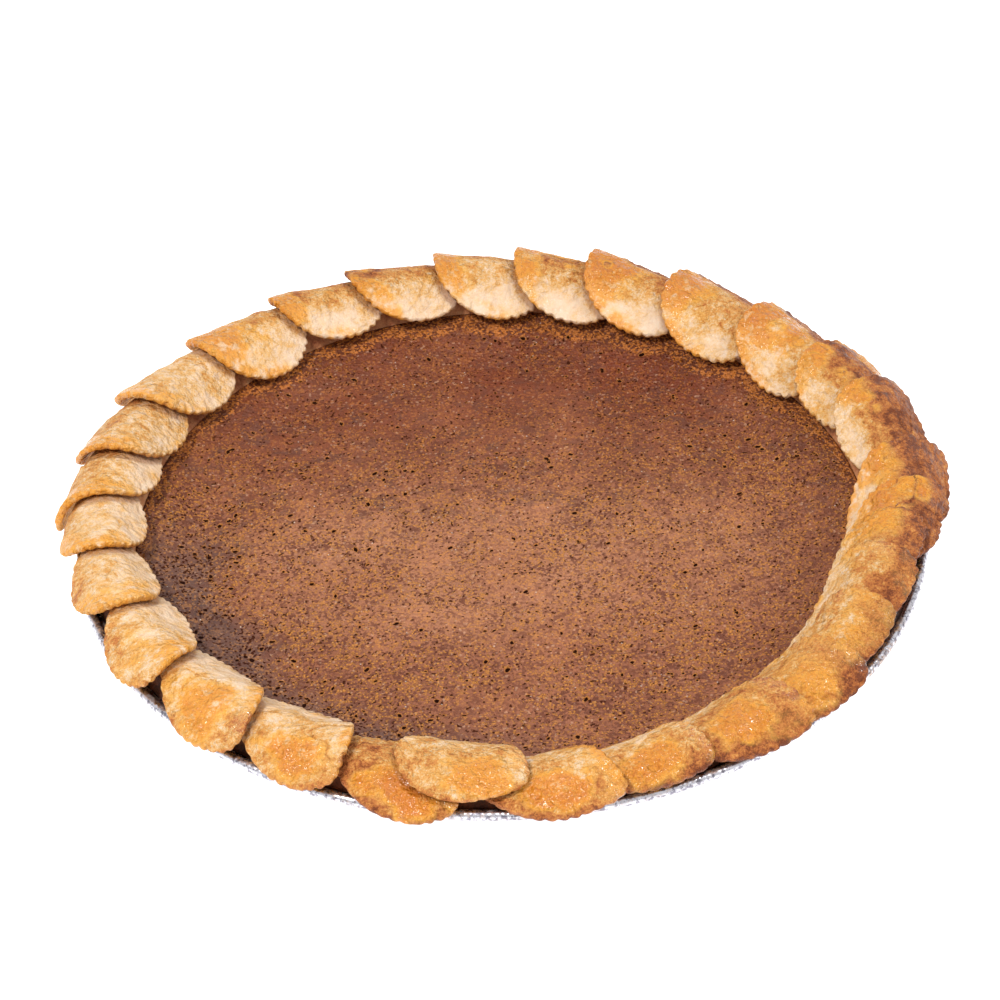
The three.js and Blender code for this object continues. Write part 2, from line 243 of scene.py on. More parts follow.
def signed_volume(points, faces):
    """Positive where the faces look outward."""
    total = 0.0
    for group in faces:
        for k in range(1, group.shape[1] - 1):
            a, b, c = points[group[:, 0]], points[group[:, k]], points[group[:, k + 1]]
            total += np.einsum("ij,ij->", a, np.cross(b, c))
    return total


def add_piece(name, points, faces, node, material, masks):
    """A smooth mesh that stands for a solid of the part. masks are values kept at its points."""
    if signed_volume(points, faces) < 0:
        faces = [group[:, ::-1] for group in faces]
    mesh = bpy.data.meshes.new(name)
    mesh.vertices.add(len(points))
    mesh.vertices.foreach_set("co", (points * 0.001).astype(np.float32).ravel())
    corners = np.concatenate([group.ravel() for group in faces]).astype(np.int32)
    sizes = np.concatenate([np.full(len(group), group.shape[1]) for group in faces])
    starts = np.concatenate([[0], np.cumsum(sizes)[:-1]]).astype(np.int32)
    mesh.loops.add(len(corners))
    mesh.loops.foreach_set("vertex_index", corners)
    mesh.polygons.add(len(sizes))
    mesh.polygons.foreach_set("loop_start", starts)
    mesh.polygons.foreach_set("use_smooth", np.ones(len(sizes), bool))
    mesh.update(calc_edges=True)
    for key, values in masks.items():
        layer = mesh.attributes.new(key, "FLOAT", "POINT")
        layer.data.foreach_set("value", np.asarray(values, np.float32).ravel())
    mesh.materials.append(material)
    piece = bpy.data.objects.new(name, mesh)
    bpy.context.scene.collection.objects.link(piece)
    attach(piece, "root")
    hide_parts(node)


# ---- materials ---------------------------------------------------------------------------------

LIGHT = 1.2  # how much more than a white surface's own share the lamps and the sky give


def linear(red_and_shade, green, blue):
    """The colour a surface needs to look like this on screen, 0 to 255, under this scene's light."""
    values = []
    for value in (red_and_shade, green, blue):
        share = value / 255
        share = share / 12.92 if share <= 0.04045 else ((share + 0.055) / 1.055) ** 2.4
        values.append(share / LIGHT)
    return (*values, 1.0)


class Shader:
    """A material's node tree, built by name."""

    def __init__(self, name):
        self.material = bpy.data.materials.new(name)
        self.material.use_nodes = True
        self.tree = self.material.node_tree
        self.surface = self.tree.nodes["Principled BSDF"]

    def node(self, kind, **values):
        made = self.tree.nodes.new(kind)
        for key, value in values.items():
            setattr(made, key, value)
        return made

    def join(self, source, target):
        self.tree.links.new(source, target)

    def put(self, value, target):
        """A number, a colour or another node's output into an input."""
        if isinstance(value, bpy.types.NodeSocket):
            self.join(value, target)
        else:
            target.default_value = value

    def mask(self, name):
        return self.node("ShaderNodeAttribute", attribute_name=name).outputs["Fac"]

    def place(self):
        """The point itself, in millimetres, so that a texture's scale is a count per millimetre."""
        where = self.node("ShaderNodeTexCoord").outputs["Object"]
        scaled = self.node("ShaderNodeVectorMath", operation="MULTIPLY")
        self.join(where, scaled.inputs[0])
        scaled.inputs[1].default_value = (1000, 1000, 1000)
        return scaled.outputs["Vector"]

    def noise(self, size, detail=2.0, rough=0.5, warp=0.0):
        """A noise texture, 0 to 1, whose features measure size millimetres."""
        made = self.node("ShaderNodeTexNoise")
        self.join(self.place(), made.inputs["Vector"])
        made.inputs["Scale"].default_value = 1 / size
        made.inputs["Detail"].default_value = detail
        made.inputs["Roughness"].default_value = rough
        made.inputs["Distortion"].default_value = warp
        return made.outputs["Fac"]

    def cells(self, size, warp=0.0):
        """Distance to the nearest of many scattered points, and a random grey for each."""
        made = self.node("ShaderNodeTexVoronoi")
        where = self.place()
        if warp:
            twist = self.node("ShaderNodeTexNoise")
            self.join(where, twist.inputs["Vector"])
            twist.inputs["Scale"].default_value = 0.5 / size
            moved = self.node("ShaderNodeVectorMath", operation="MULTIPLY_ADD")
            self.join(twist.outputs["Color"], moved.inputs[0])
            moved.inputs[1].default_value = (warp, warp, warp)
            self.join(where, moved.inputs[2])
            where = moved.outputs["Vector"]
        self.join(where, made.inputs["Vector"])
        made.inputs["Scale"].default_value = 1 / size
        return made.outputs["Distance"], made.outputs["Color"]

    def span(self, value, low, high, to_low=0.0, to_high=1.0):
        """value between low and high, mapped to another span and held at its ends."""
        made = self.node("ShaderNodeMapRange", clamp=True)
        self.put(value, made.inputs["Value"])
        for key, number in (("From Min", low), ("From Max", high), ("To Min", to_low), ("To Max", to_high)):
            made.inputs[key].default_value = number
        return made.outputs["Result"]

    def math(self, operation, a, b=0.0, c=None):
        made = self.node("ShaderNodeMath", operation=operation)
        self.put(a, made.inputs[0])
        self.put(b, made.inputs[1])
        if c is not None:
            self.put(c, made.inputs[2])
        return made.outputs["Value"]

    def times(self, a, b):
        return self.math("MULTIPLY", a, b)

    def about_zero(self, value, swing):
        """A value from 0 to 1 made to swing about 0, this far from end to end."""
        return self.math("MULTIPLY_ADD", value, swing, -swing / 2)

    def mix(self, share, a, b):
        made = self.node("ShaderNodeMix", data_type="RGBA")
        self.put(share, made.inputs[0])
        self.put(a, made.inputs[6])
        self.put(b, made.inputs[7])
        return made.outputs[2]

    def ramp(self, value, stops):
        """A colour for each value, from stops of a value and a colour on screen."""
        made = self.node("ShaderNodeValToRGB")
        self.join(value, made.inputs["Fac"])
        points = made.color_ramp.elements
        while len(points) < len(stops):
            points.new(0.5)
        for point, (at, colour) in zip(points, stops):
            point.position = at
            point.color = linear(*colour)
        return made.outputs["Color"]

    def bump(self, height, strength, depth, target="Normal"):
        """Fine relief: depth is in millimetres."""
        made = self.node("ShaderNodeBump")
        self.join(height, made.inputs["Height"])
        self.put(strength, made.inputs["Strength"])
        made.inputs["Distance"].default_value = depth * 0.001
        self.join(made.outputs["Normal"], self.surface.inputs[target])

    def surface_is(self, **values):
        """Sets the surface's inputs, whose names are written with _ for each space."""
        for key, value in values.items():
            self.put(value, self.surface.inputs[key.replace("_", " ")])


PASTRY_TONES = [
    (0.0, (248, 230, 208)),
    (0.12, (245, 217, 188)),
    (0.26, (240, 203, 162)),
    (0.38, (233, 185, 122)),
    (0.50, (225, 161, 82)),
    (0.64, (208, 134, 66)),
    (0.78, (186, 108, 50)),
    (0.90, (160, 88, 40)),
    (1.0, (122, 60, 26)),
]
AMBER_TONES = [(0.0, (248, 190, 90)), (0.5, (238, 158, 40)), (1.0, (216, 122, 20))]
CRUST_TONES = [
    (0.0, (240, 206, 164)),
    (0.35, (208, 142, 92)),
    (0.6, (158, 84, 44)),
    (0.85, (96, 50, 26)),
    (1.0, (58, 30, 18)),
]


def pastry_material():
    """Baked dough, from cream to brown by the mask bake, under a brushed-on egg wash."""
    s = Shader("pastry")
    blotch = s.noise(3.4, detail=3.0, rough=0.6)
    fleck = s.noise(1.2, detail=4.0, rough=0.8, warp=0.5)
    speck = s.noise(0.55, rough=0.8)
    brown = s.span(s.mask("bake"), 0.12, 0.5)
    uneven = s.math("ADD", s.about_zero(blotch, 0.85), s.about_zero(fleck, 0.9))
    uneven = s.math("ADD", uneven, s.about_zero(speck, 0.5))
    uneven = s.times(uneven, s.span(brown, 0.0, 1.0, 0.2, 1.2))
    tone = s.ramp(s.math("ADD", s.mask("bake"), uneven), PASTRY_TONES)

    # The egg wash gathered and browned in patches, and left a gloss.
    amber = s.ramp(s.math("ADD", s.mask("gold"), s.about_zero(fleck, 1.2)), AMBER_TONES)
    laid = s.times(s.mask("gold"), s.span(blotch, 0.36, 0.60, 0.3, 1.6))
    tone = s.mix(s.span(laid, 0.04, 0.55, 0.0, 0.9), tone, amber)
    # Painted shadow: the colour darkens to brown where the next round lies over this one.
    tuck_shadow = s.span(s.mask("tuck_shadow"), 0.0, 1.0, 0.0, 0.5)
    tone = s.mix(tuck_shadow, tone, linear(150, 84, 38))
    wash = s.times(s.mask("wash"), s.span(blotch, 0.38, 0.56))
    s.surface_is(Base_Color=tone, Roughness=s.span(wash, 0.0, 1.0, 0.62, 0.42), IOR=1.45,
                 Specular_IOR_Level=0.35, Coat_Weight=wash, Coat_Roughness=0.12,
                 Subsurface_Weight=0.05, Subsurface_Radius=(1.0, 0.5, 0.2), Subsurface_Scale=0.001)
    wrinkles = s.noise(2.2)
    grain = s.math("MULTIPLY_ADD", speck, 0.35, s.times(wrinkles, 2.2))
    s.bump(grain, s.span(brown, 0.0, 1.0, 0.3, 1.0), 1.2)
    s.bump(wrinkles, 1.0, 1.6, "Coat Normal")
    return s.material


def custard_tone(s):
    """The custard's broad colours, with its painted sheen and painted shade, without its grain."""
    mottle = s.noise(7.0, detail=3.0, rough=0.6, warp=0.6)
    broad = s.noise(24.0, rough=0.55)
    tone = s.mix(s.span(broad, 0.35, 0.65), linear(152, 88, 55), linear(170, 103, 68))
    # Painted sheen: the sunken middle is made a paler light brown.
    tone = s.mix(s.mask("tan_sheen"), tone, linear(192, 127, 89))
    # Reddish brown at the back and right: partly the custard's own colour, partly painted shade that darkens
    # the back.
    tone = s.mix(s.mask("red_and_shade"), tone, linear(124, 54, 24))
    # Painted shade with a dull grey sheen on the band where the left front climbs toward the rounds.
    tone = s.mix(s.mask("dusk_shade"), tone, linear(108, 74, 62))
    # Painted shade with a grey sheen: dark grey patches, more toward the back and by the rounds at the left
    # front.
    grey_shade = s.times(s.span(mottle, 0.50, 0.62), s.mask("grey_shade"))
    return mottle, s.mix(s.times(grey_shade, 0.6), tone, linear(82, 54, 48))


def custard_pores(s):
    """Where the small holes are, and the caramel ring round each."""
    distance, random = s.cells(2.6, warp=1.0)
    chosen = s.span(s.times(random, s.mask("holes")), 0.62, 0.66)
    halo = s.times(s.span(distance, 0.20, 0.30, 1.0, 0.0), chosen)
    pore = s.times(s.span(distance, 0.10, 0.17, 1.0, 0.0), chosen)
    hollow = s.math("MULTIPLY_ADD", s.noise(0.8, rough=0.6), 0.30, s.mask("pore"))
    halo = s.math("MAXIMUM", halo, s.span(hollow, 0.66, 0.76))
    return halo, s.math("MAXIMUM", pore, s.span(hollow, 0.86, 0.92))


def filling_material():
    """Set custard: a mosaic of fine grains, some spiced yellow and some dark, with pores."""
    s = Shader("filling")
    mottle, tone = custard_tone(s)
    strength = s.mask("fleck")
    inside, lot = s.cells(0.74, warp=1.0)
    warm = s.math("ADD", lot, s.about_zero(s.noise(4.2, detail=3.0, rough=0.6), 1.05))
    shade = s.times(s.span(warm, 0.30, 0.42, 1.0, 0.0), strength)
    tone = s.mix(s.times(shade, 0.9), tone, linear(110, 52, 26))
    body = s.span(inside, 0.35, 0.75, 1.0, 0.3)
    fleck = s.times(s.times(s.span(warm, 0.58, 0.70), strength), body)
    spice = s.mix(s.mask("red_and_shade"), linear(222, 144, 62), linear(186, 106, 46))
    tone = s.mix(s.times(fleck, 0.95), tone, spice)
    _, grain = s.cells(0.65, warp=0.7)
    # Dark specks that stand for tiny pits: painted shade, more of them on the shaded band at the left front.
    pitted = s.math("MULTIPLY_ADD", s.mask("dusk_shade"), 0.14, grain)
    pit_shade = s.times(s.span(pitted, 0.82, 0.86), s.span(strength, 0.0, 0.35))
    tone = s.mix(s.times(pit_shade, 0.9), tone, linear(64, 26, 11))
    pale = s.times(s.span(grain, 0.10, 0.14, 1.0, 0.0), s.span(strength, 0.0, 0.6))
    tone = s.mix(s.times(pale, 0.35), tone, linear(236, 186, 150))
    # Caramel under the round tips, partly its own colour and partly painted light: made lighter against the
    # shadow the tips cast there.
    caramel = s.mix(s.span(lot, 0.4, 0.6), linear(110, 56, 28), linear(232, 140, 60))
    tone = s.mix(s.times(s.mask("seam"), 0.65), tone, caramel)
    halo, pore = custard_pores(s)
    tone = s.mix(s.times(halo, s.span(strength, 0.3, 0.9, 0.0, 0.75)), tone, linear(208, 130, 56))
    # The holes are painted near black: painted shade inside them.
    tone = s.mix(pore, tone, linear(40, 13, 5))
    # Painted glints: tiny near-white spots mixed into the colour.
    spot, which = s.cells(2.6)
    painted_glint = s.times(s.span(spot, 0.05, 0.11, 1.0, 0.0), s.span(which, 0.70, 0.76))
    tone = s.mix(s.times(painted_glint, 0.8), tone, linear(240, 222, 208))
    s.surface_is(Base_Color=tone, Roughness=s.span(mottle, 0.3, 0.7, 0.40, 0.54), IOR=1.42,
                 Specular_IOR_Level=s.span(s.math("MAXIMUM", pore, pit_shade), 0.0, 1.0, 0.5, 0.05))
    relief = s.math("ADD", s.times(s.noise(1.0, rough=0.7), 1.4), fleck)
    relief = s.math("SUBTRACT", relief, s.times(pore, 1.2))
    s.bump(relief, s.span(strength, 0.0, 0.8, 0.3, 1.0), 0.8)
    return s.material


def crust_material():
    """Craggy dough, darker brown on its outer side and low down: partly browning, partly painted shade."""
    s = Shader("crust")
    uneven = s.about_zero(s.noise(3.0, detail=4.0, rough=0.75), 0.8)
    s.surface_is(Base_Color=s.ramp(s.math("ADD", s.mask("bake"), uneven), CRUST_TONES), Roughness=0.7)
    s.bump(s.noise(0.9, detail=3.0, rough=0.65), 0.8, 0.6)
    return s.material


def foil_material():
    """Bright foil, speckled on its rolled rim and smeared with what boiled over."""
    s = Shader("foil")
    smear = s.times(s.mask("residue"), s.span(s.noise(2.6, detail=3.0, rough=0.6, warp=1.0), 0.50, 0.56))
    tint = s.mix(s.span(s.noise(1.1, rough=0.6), 0.40, 0.60), linear(84, 50, 32), linear(206, 150, 78))
    speckle = s.span(s.noise(1.3, rough=0.7), 0.40, 0.52)
    metal = s.mix(speckle, linear(140, 136, 148), linear(228, 226, 234))
    metal = s.mix(s.mask("rolled"), linear(224, 222, 230), metal)
    s.surface_is(Base_Color=s.mix(smear, metal, tint), Metallic=s.math("SUBTRACT", 1.0, smear),
                 Roughness=s.span(s.noise(4.0), 0.3, 0.7, 0.22, 0.36))
    s.bump(s.noise(1.4), 0.3, 0.2)
    return s.material


# ---- the rounds --------------------------------------------------------------------------------


FAR_AWAY = 9.0  # more radii than any round reaches
ROUND_SEED = 700
ROW_CROWDING = 0.85  # below 1, the rows of points crowd toward the edge
PLAN_APART = 40.0  # how far apart the rounds' patterns are taken
STREAK_APART = 9.0
RING_APART = 3.7

TALLEST = 47.2  # no round stands higher than this above the table
TALLEST_EASE = 0.5  # and what nears it is eased under it over this height
LEFTMOST = -134.35  # nor does one reach further out than this on the left

# What the oven and the hand did to the dough, in millimetres.
FLUTE_CUT = 0.85  # depth of the notches between the flutes
OUTLINE_TRIM = 0.38
OUTLINE_WANDER = 0.35
PUFF = 0.12
PUFF_WIDE = 0.42
PUFF_SMALL = 0.32
RIPPLE = 0.2
STREAK = 0.10
CREASE = 0.34
RIB = 0.34
CRUMB = 0.14
BLISTER_FIELD = (14.0, 13.0)
BLISTER_WIDTH = (0.8, 1.9)
BLISTER_HEIGHT = (0.2, 0.5)


def middle_of(index):
    """The angle of a round's middle. The count goes on past the last round and back before the first."""
    turns = math.floor(index / len(ROUNDS))
    return ROUNDS[index - turns * len(ROUNDS)]["trailing"] - HALF_WIDTH - 360.0 * turns


SPAN = np.arange(-4, len(ROUNDS) + 4)
MIDDLES = np.array([middle_of(index) for index in SPAN])


def rounds_to(angle):
    """Counts the rounds from the first one's middle to an angle: whole numbers at the middles."""
    return np.interp(-angle, -MIDDLES, SPAN)


def underside(index, angle):
    """Height of a round's underside above the crust's rim."""
    bed = LAYER_CLEARANCE + LAYER_PITCH * (rounds_to(angle) - rounds_to(angle + HALF_WIDTH))
    layers = index - rounds_to(angle)
    if index == 0:
        layers = np.minimum(layers, 0.0)
    if index == LAST:
        layers = 1.0
    covered = middle_of(LAST) if index == LAST else middle_of(index + 1) + HALF_WIDTH
    end = middle_of(index) + HALF_WIDTH
    free = np.clip((angle - covered) / (end - covered), 0.0, CURL_LIMIT)
    return bed + LAYER_PITCH * layers + ROUNDS[index]["curl"] * free * free


def share_of(index, angle, along):
    """How far out in a round a place lies: 1 at its edge."""
    r = ROUNDS[index]
    middle = middle_of(index)
    off = np.mod(angle - middle + 180.0, 360.0) - 180.0
    near, _ = rim_point(np.full_like(along, middle), along, STACK_MIDDLE)
    back = np.radians(off) * near
    across = (along - r["shift"]) / r["depth"]
    back = back - r["skew"] * (along - r["shift"])
    turn = math.radians(SLANT)
    long = (back * math.cos(turn) + across * math.sin(turn)) / r["stretch"]
    short = (across * math.cos(turn) - back * math.sin(turn)) * math.sqrt(r["stretch"])
    return np.hypot(long, short) / ROUND_RADIUS


def open_to_air(index, angle, along):
    """0 where the next rounds cover this one, 1 clear of them."""
    above = [LAST] if index == 0 else []
    above += [other for other in (index + 1, index + 2) if other <= LAST]
    nearest = np.full_like(along, FAR_AWAY)
    for other in above:
        nearest = np.minimum(nearest, share_of(other, angle, along))
    return nearest


def round_rows():
    """For each row of a round's points, from its middle over its edge and back underneath: its reach,
    as a share of the radius, and its level, 1 on top and 0 underneath. The last two are the middles."""
    top = EDGE_START * (np.arange(1, TOP_ROWS + 1) / TOP_ROWS) ** ROW_CROWDING
    turn = np.radians(np.linspace(90, -90, EDGE_ROWS + 2)[1:-1])
    over = EDGE_START + (1 - EDGE_START) * np.cos(turn)
    under = EDGE_START * np.arange(UNDER_ROWS, 0, -1) / UNDER_ROWS
    reach = np.concatenate([top, over, under, [0.0, 0.0]])
    level = np.concatenate([np.ones(TOP_ROWS), np.sin(turn) * 0.5 + 0.5, np.zeros(UNDER_ROWS), [1.0, 0.0]])
    return reach[:, None], level[:, None]


class Round:
    """One round of pastry. Its arrays hold rows of points, by places round its outline."""

    def __init__(self, index):
        self.index = index
        self.own = ROUNDS[index]
        self.reach, self.level = round_rows()
        self.near_edge = eased(self.reach, 0.87, 1.0)
        self.lay(self.outline())
        self.beyond = open_to_air(index, self.angle, self.along)
        self.bare = eased(self.beyond, 0.99, 1.16)
        self.inner = eased(-self.side, 0.1, 0.6)
        self.plan = self.field(self.back, self.along, PLAN_APART)
        self.blister = self.blisters()
        crease = 1 - eased(np.abs(noise(self.plan * (1.0, 1.7, 1.0), 6.0, seed=26)), 0.0, 0.16)
        self.crease = crease * eased(noise(self.plan, 9.0, seed=27), -0.1, 0.4)

    def field(self, x, y, apart):
        """Places to take noise at, which differ from round to round."""
        return np.stack([x, y, np.full_like(x, self.index * apart)], -1)

    def outline(self):
        """Distance from the middle: fluted, and a little worn and pulled out of round."""
        self.towards = np.arange(AROUND_ROUND) * 360.0 / AROUND_ROUND
        wheel = np.radians(self.towards)
        self.ring = self.field(np.cos(wheel), np.sin(wheel), RING_APART)
        self.lobe = np.abs(np.cos(np.radians(FLUTES * self.towards / 2)))
        worn = np.clip(0.65 + 0.9 * noise(self.ring * 9.0, 2.6, seed=11), 0.2, 1.0)
        lost = OUTLINE_WANDER * (0.5 + 0.5 * noise(self.ring, 0.35, seed=12))
        edge = -FLUTE_CUT * (1 - self.lobe) * worn - OUTLINE_TRIM - lost
        off = np.mod(self.towards - self.own["corner"] + 180.0, 360.0) - 180.0
        pull = self.own["tail"] * np.exp(-((off / TAIL_SPREAD) ** 2))
        return (ROUND_RADIUS + pull) * self.reach + edge * self.near_edge

    def lay(self, radius):
        """Where each point comes to lie: back along the rim, and across it."""
        slant = np.radians(self.towards - SLANT)
        long = radius * np.cos(slant) * self.own["stretch"]
        short = radius * np.sin(slant) / math.sqrt(self.own["stretch"])
        lie = math.radians(SLANT)
        across = self.own["depth"] * (long * math.sin(lie) + short * math.cos(lie))
        self.back = long * math.cos(lie) - short * math.sin(lie) + self.own["skew"] * across
        self.along = self.own["shift"] + across
        middle = middle_of(self.index)
        near, _ = rim_point(np.full_like(self.along, middle), self.along, STACK_MIDDLE)
        self.angle = middle + np.degrees(self.back / near)
        self.side = across / (ROUND_RADIUS * self.own["depth"])
        self.fore = (self.back - self.own["skew"] * across) / ROUND_RADIUS

    def blisters(self):
        draw = np.random.default_rng(ROUND_SEED + self.index)
        raised = np.zeros_like(self.back)
        for _ in range(self.own["blisters"]):
            back = draw.uniform(-1, 1) * BLISTER_FIELD[0]
            along = draw.uniform(-0.35, 0.95) * BLISTER_FIELD[1]
            wide = draw.uniform(*BLISTER_WIDTH)
            high = draw.uniform(*BLISTER_HEIGHT)
            long = wide * draw.uniform(0.6, 1.4)
            away = ((self.back - back) / wide) ** 2 + ((self.along - along) / long) ** 2
            raised = np.maximum(raised, high * np.exp(-away))
        return raised

    def thickness(self):
        """The dough puffed where the air reached it, and blistered and wrinkled as it was pulled."""
        puff = PUFF + PUFF_WIDE * noise(self.plan, 12.0, seed=21)
        puff = puff + PUFF_SMALL * noise(self.plan, 5.0, seed=22)
        puff = puff * (1 - 0.45 * eased(self.reach, 0.7, 0.97))
        drawn = self.field(self.back * 0.9 + self.along * 0.5, self.along * 0.16, STREAK_APART)
        streak = STREAK * self.inner * noise(drawn, 1.6, seed=23)
        relief = self.bare * (puff + self.blister + streak - CREASE * self.crease)
        relief = relief + RIPPLE * self.bare * noise(self.plan, 2.1, seed=24)
        rib = eased(self.reach, 0.76, 0.98) * (RIB * (self.lobe - 0.6))
        rib = rib * (0.55 + 0.45 * noise(self.ring, 0.5, seed=28))
        crumb = CRUMB * noise(self.plan, 0.9, seed=25) * eased(self.reach, 0.9, 0.97)
        height = (ROUND_THICKNESS + relief + rib * self.bare) * self.level + crumb * self.bare
        height[self.level[:, 0] == 0] = 0.0
        return height

    def points(self):
        lift = underside(self.index, self.angle) + self.thickness()
        out, up = rim_point(self.angle, self.along, lift)
        over = np.maximum(up - (TALLEST - TALLEST_EASE), 0.0)
        up = up - over + TALLEST_EASE * np.tanh(over / TALLEST_EASE)
        points = turned(out, self.angle, up)
        points[..., 0] = np.maximum(points[..., 0], LEFTMOST)
        return points

    def masks(self):
        """How brown, how golden and how glossy each place is, and a painted shadow where the next round lies
        over it. The brush caught the free side and the crown; at the front it caught the outer side. The
        inner tip stayed pale."""
        forward = -math.sin(math.radians(middle_of(self.index)))
        front = eased(forward, 0.3, 0.8)
        bake = self.bake(forward)
        patch = noise(self.plan, 9.0, seed=31) + 0.5 * noise(self.plan, 3.4, seed=32)
        band = eased(self.reach, 0.35, 0.85) * eased(self.fore, 0.0, 0.6) * eased(self.side, -0.9, -0.3)
        crown = np.exp(-(((self.fore - 0.3) / 0.6) ** 2) - ((self.side - 0.1) / 0.6) ** 2)
        apron = np.exp(-(((self.fore - 0.2) / 0.55) ** 2) - ((self.side - 0.45) / 0.45) ** 2)
        brushed = lerp(band + 1.2 * (self.own["gold"] - 0.35) * crown, 1.15 * apron, front)
        brushed = eased(brushed + 0.42 * patch, 0.25, 0.95)
        rimmed = eased(self.reach, 0.6, 0.92) * eased(self.fore - 0.7 * self.side, 0.1, 0.7)
        gold = np.maximum(brushed * (1 - 0.5 * self.inner), 0.7 * rimmed * eased(patch, -0.5, 0.3))
        gold = self.own["gold"] * gold * (1 - (1 - front) * eased(bake, 0.62, 0.85))
        wash = self.own["wash"] * eased(brushed + rimmed, 0.2, 0.8) * eased(self.level, 0.0, 0.35)
        wash = wash * (1 - 0.7 * (1 - front) * eased(bake, 0.55, 0.8))
        # Painted shadow under the round that lies over this one, fading out about 1.3 mm past its edge.
        tuck_shadow = (1 - eased(self.beyond, 1.0, 1.07)) * self.level
        return {"bake": bake, "gold": gold, "wash": wash, "tuck_shadow": tuck_shadow}

    def bake(self, forward):
        """The tips are palest at the back, and darker the further forward they lie."""
        tip = lerp(self.own["tip"], self.own["body"], 0.55 * eased(forward, -0.1, 0.5))
        bake = lerp(self.own["body"], tip, eased(-self.side, -0.2, 0.75))
        outer = eased(self.side + 0.2 * noise(self.plan, 5.0, seed=34), 0.1, 0.7)
        bake = lerp(bake, self.own["edge"], outer)
        bake = bake + 0.10 * noise(self.plan, 4.5, seed=33)
        bake = bake + 0.16 * self.crease * self.bare * (self.side > -0.4) + 0.10 * self.blister * self.bare
        bake = bake + 0.08 * self.near_edge * eased(self.side, -0.5, 0.3)
        return bake + (1 - self.level) * (0.16 + 0.26 * self.inner)

    def make(self, material):
        def spread(values):
            """Values at the mesh's points: the rows, then the two middles."""
            return np.concatenate([values[:-2].reshape(-1, *values.shape[2:]), values[-2:, 0]])

        masks = {key: spread(values) for key, values in self.masks().items()}
        name = f"round_{self.index + 1:02d}"
        faces = shell_faces(TOP_ROWS + EDGE_ROWS + UNDER_ROWS, AROUND_ROUND)
        add_piece(name + "_pastry", spread(self.points()), faces, name, material, masks)


# ---- tin, crust and filling --------------------------------------------------------------------

CRUST_FLOOR = FOIL + GAP
CRUST_FOOT = CRUST_FLOOR + BASE_CORNER
CRUST_TOP = CRUST_FLOOR + CRUST
FLANGE = RIM_HEIGHT - FLANGE_DROP
FLANGE_TOP = FLANGE + GAP
WALL_LEAN = (SHOULDER_RADIUS - BASE_RADIUS) / (FLANGE - BASE_CORNER)
FILL_EDGE = RIM_HEIGHT - FILL_EDGE_DEPTH
CRUST_STEP = 1.6  # the crust's and the tin's points are no further apart than this along a section
TIN_STEP = 6.0

# The custard's holes: over its whole top, and more of them where it climbs at the left front.
PORE_SEED = 51
PORES = 230
LEFT_PORES = 110
LEFT_PORE_REACH = (80, 102)
LEFT_PORE_TURN = (165, 255)
PORE_MARGIN = 9.0
PORE_WIDTH = (0.7, 1.15)
PORE_LENGTH = (1.0, 1.8)
PORE_DEPTH = 0.7

# Where the custard's colours, its painted sheen and its painted shade lie: spans of its radius, of x or of
# y, and the angles they face.
SHEEN_REACH = (30, 80)
SHEEN_MIDDLE = -12.0
SHEEN_WIDTH = 1.45
SHEEN_DEPTH = 0.62
BACK_REACH = (0, 85)
RIGHT_REACH = (40, 105)
CALM_REACH = (80, 96)
CALM_FACES = 240.0
DUSK_SHADE_REACH = (76, 94)
DUSK_SHADE_FACES = 225.0
GREY_SHADE_REACH = (66, 88)
GREY_SHADE_FACES = 218.0

BEAD_DENT = 0.18
BEAD_DROP = 0.15
BEAD_CRIMP = 0.07
BEAD_WORN = (0.08, 0.07)  # how far the whole bead is pressed in, and down
PLEAT_DEPTH = 0.35


def wall_radius(height, away):
    """Radius of the inside of the tin's wall at a height, less a distance kept from it."""
    return BASE_RADIUS + WALL_LEAN * (height - BASE_CORNER) - FOIL - away


def facing(angle, direction, low, high):
    """1 where an angle lies toward a direction, 0 away from it; low and high are cosines."""
    return eased(np.cos(np.radians(angle - direction)), low, high)


def fill_height(radius, angle):
    edge = wall_radius(FILL_EDGE, CRUST)
    climb = eased(radius, FILL_FLAT_RADIUS, edge) ** FILL_CLIMB
    swell = np.sin(np.radians(FILL_SWELLS * angle + FILL_SWELL_TURN)) * np.sin(np.pi * radius / edge)
    return RIM_HEIGHT - lerp(FILL_MIDDLE_DEPTH, FILL_EDGE_DEPTH, climb) + FILL_SWELL_HEIGHT * swell


def finer(section, step):
    """Points put in along a section, no more than step apart; section is points by columns by 2."""
    rows = [section[0]]
    for a, b in zip(section, section[1:]):
        count = max(1, math.ceil(np.max(np.hypot(*(b - a).T)) / step))
        rows += [lerp(a, b, k / count) for k in range(1, count + 1)]
    return np.array(rows)


